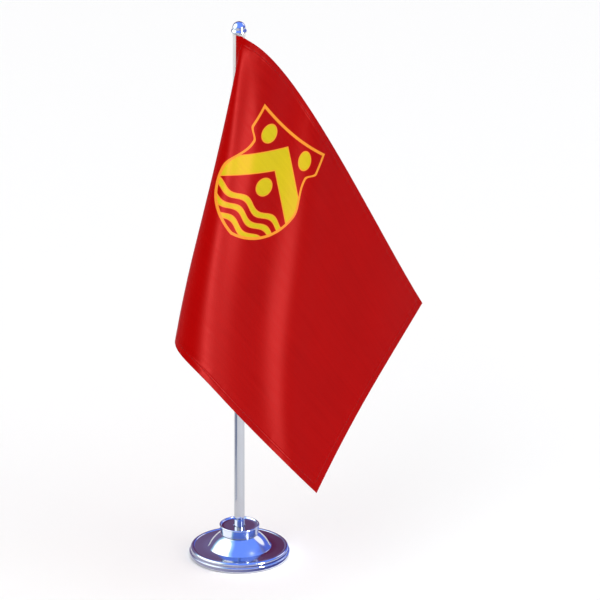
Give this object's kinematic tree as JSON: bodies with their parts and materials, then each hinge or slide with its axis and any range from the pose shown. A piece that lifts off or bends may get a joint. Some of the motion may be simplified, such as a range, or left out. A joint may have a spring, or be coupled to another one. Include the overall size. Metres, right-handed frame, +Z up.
{
  "type": "desk flag stand",
  "caption": "Desk flag stand: weighted round foot, upright pole with a domed cap, and a satin flag hanging in one fold from a sleeve that turns on the pole.",
  "frame": {"origin": "middle of the foot pad's underside, on the pole's axis", "axes": "+Z up the pole; the flag flies towards +X and its printed face is seen from -Y"},
  "size_m": [0.1519, 0.1404, 0.3604],
  "materials": {
    "chrome_plate": "bright decorative chrome plate, polished",
    "plated_steel": "zinc plated, satin",
    "cast_weight": "as cast, dark",
    "brass": "turned, bare",
    "pad": "black soft foam rubber, matt",
    "sleeve_tape": "white woven cotton tape",
    "flag_satin": "red polyester satin, soft sheen, yellow printed shield"
  },
  "bodies": {
    "base": {"base_shell": "chrome_plate", "collar_cup": "chrome_plate", "threaded_socket": "plated_steel", "ballast_disc": "cast_weight", "plain_washer": "plated_steel", "hex_nut": "plated_steel", "foot_pad": "pad"},
    "pole": {"pole_tube": "chrome_plate", "pole_foot_plug": "plated_steel", "pole_top_plug": "brass"},
    "finial": {"finial_cap": "chrome_plate", "finial_stem": "plated_steel"},
    "flag": {"hoist_sleeve": "sleeve_tape", "flag_panel": "flag_satin"}
  },
  "joints": [
    {"name": "pole_lift", "type": "slide", "parent": "base", "child": "pole", "axis": [0, 0, 1], "range_m": [0, 0.03]},
    {"name": "finial_lift", "type": "slide", "parent": "pole", "child": "finial", "axis": [0, 0, 1], "range_m": [0, 0.02]},
    {"name": "flag_swivel", "type": "hinge", "parent": "pole", "child": "flag", "pos_m": [0, 0, 0.353], "axis": [0, 0, 1], "continuous": true}
  ]
}
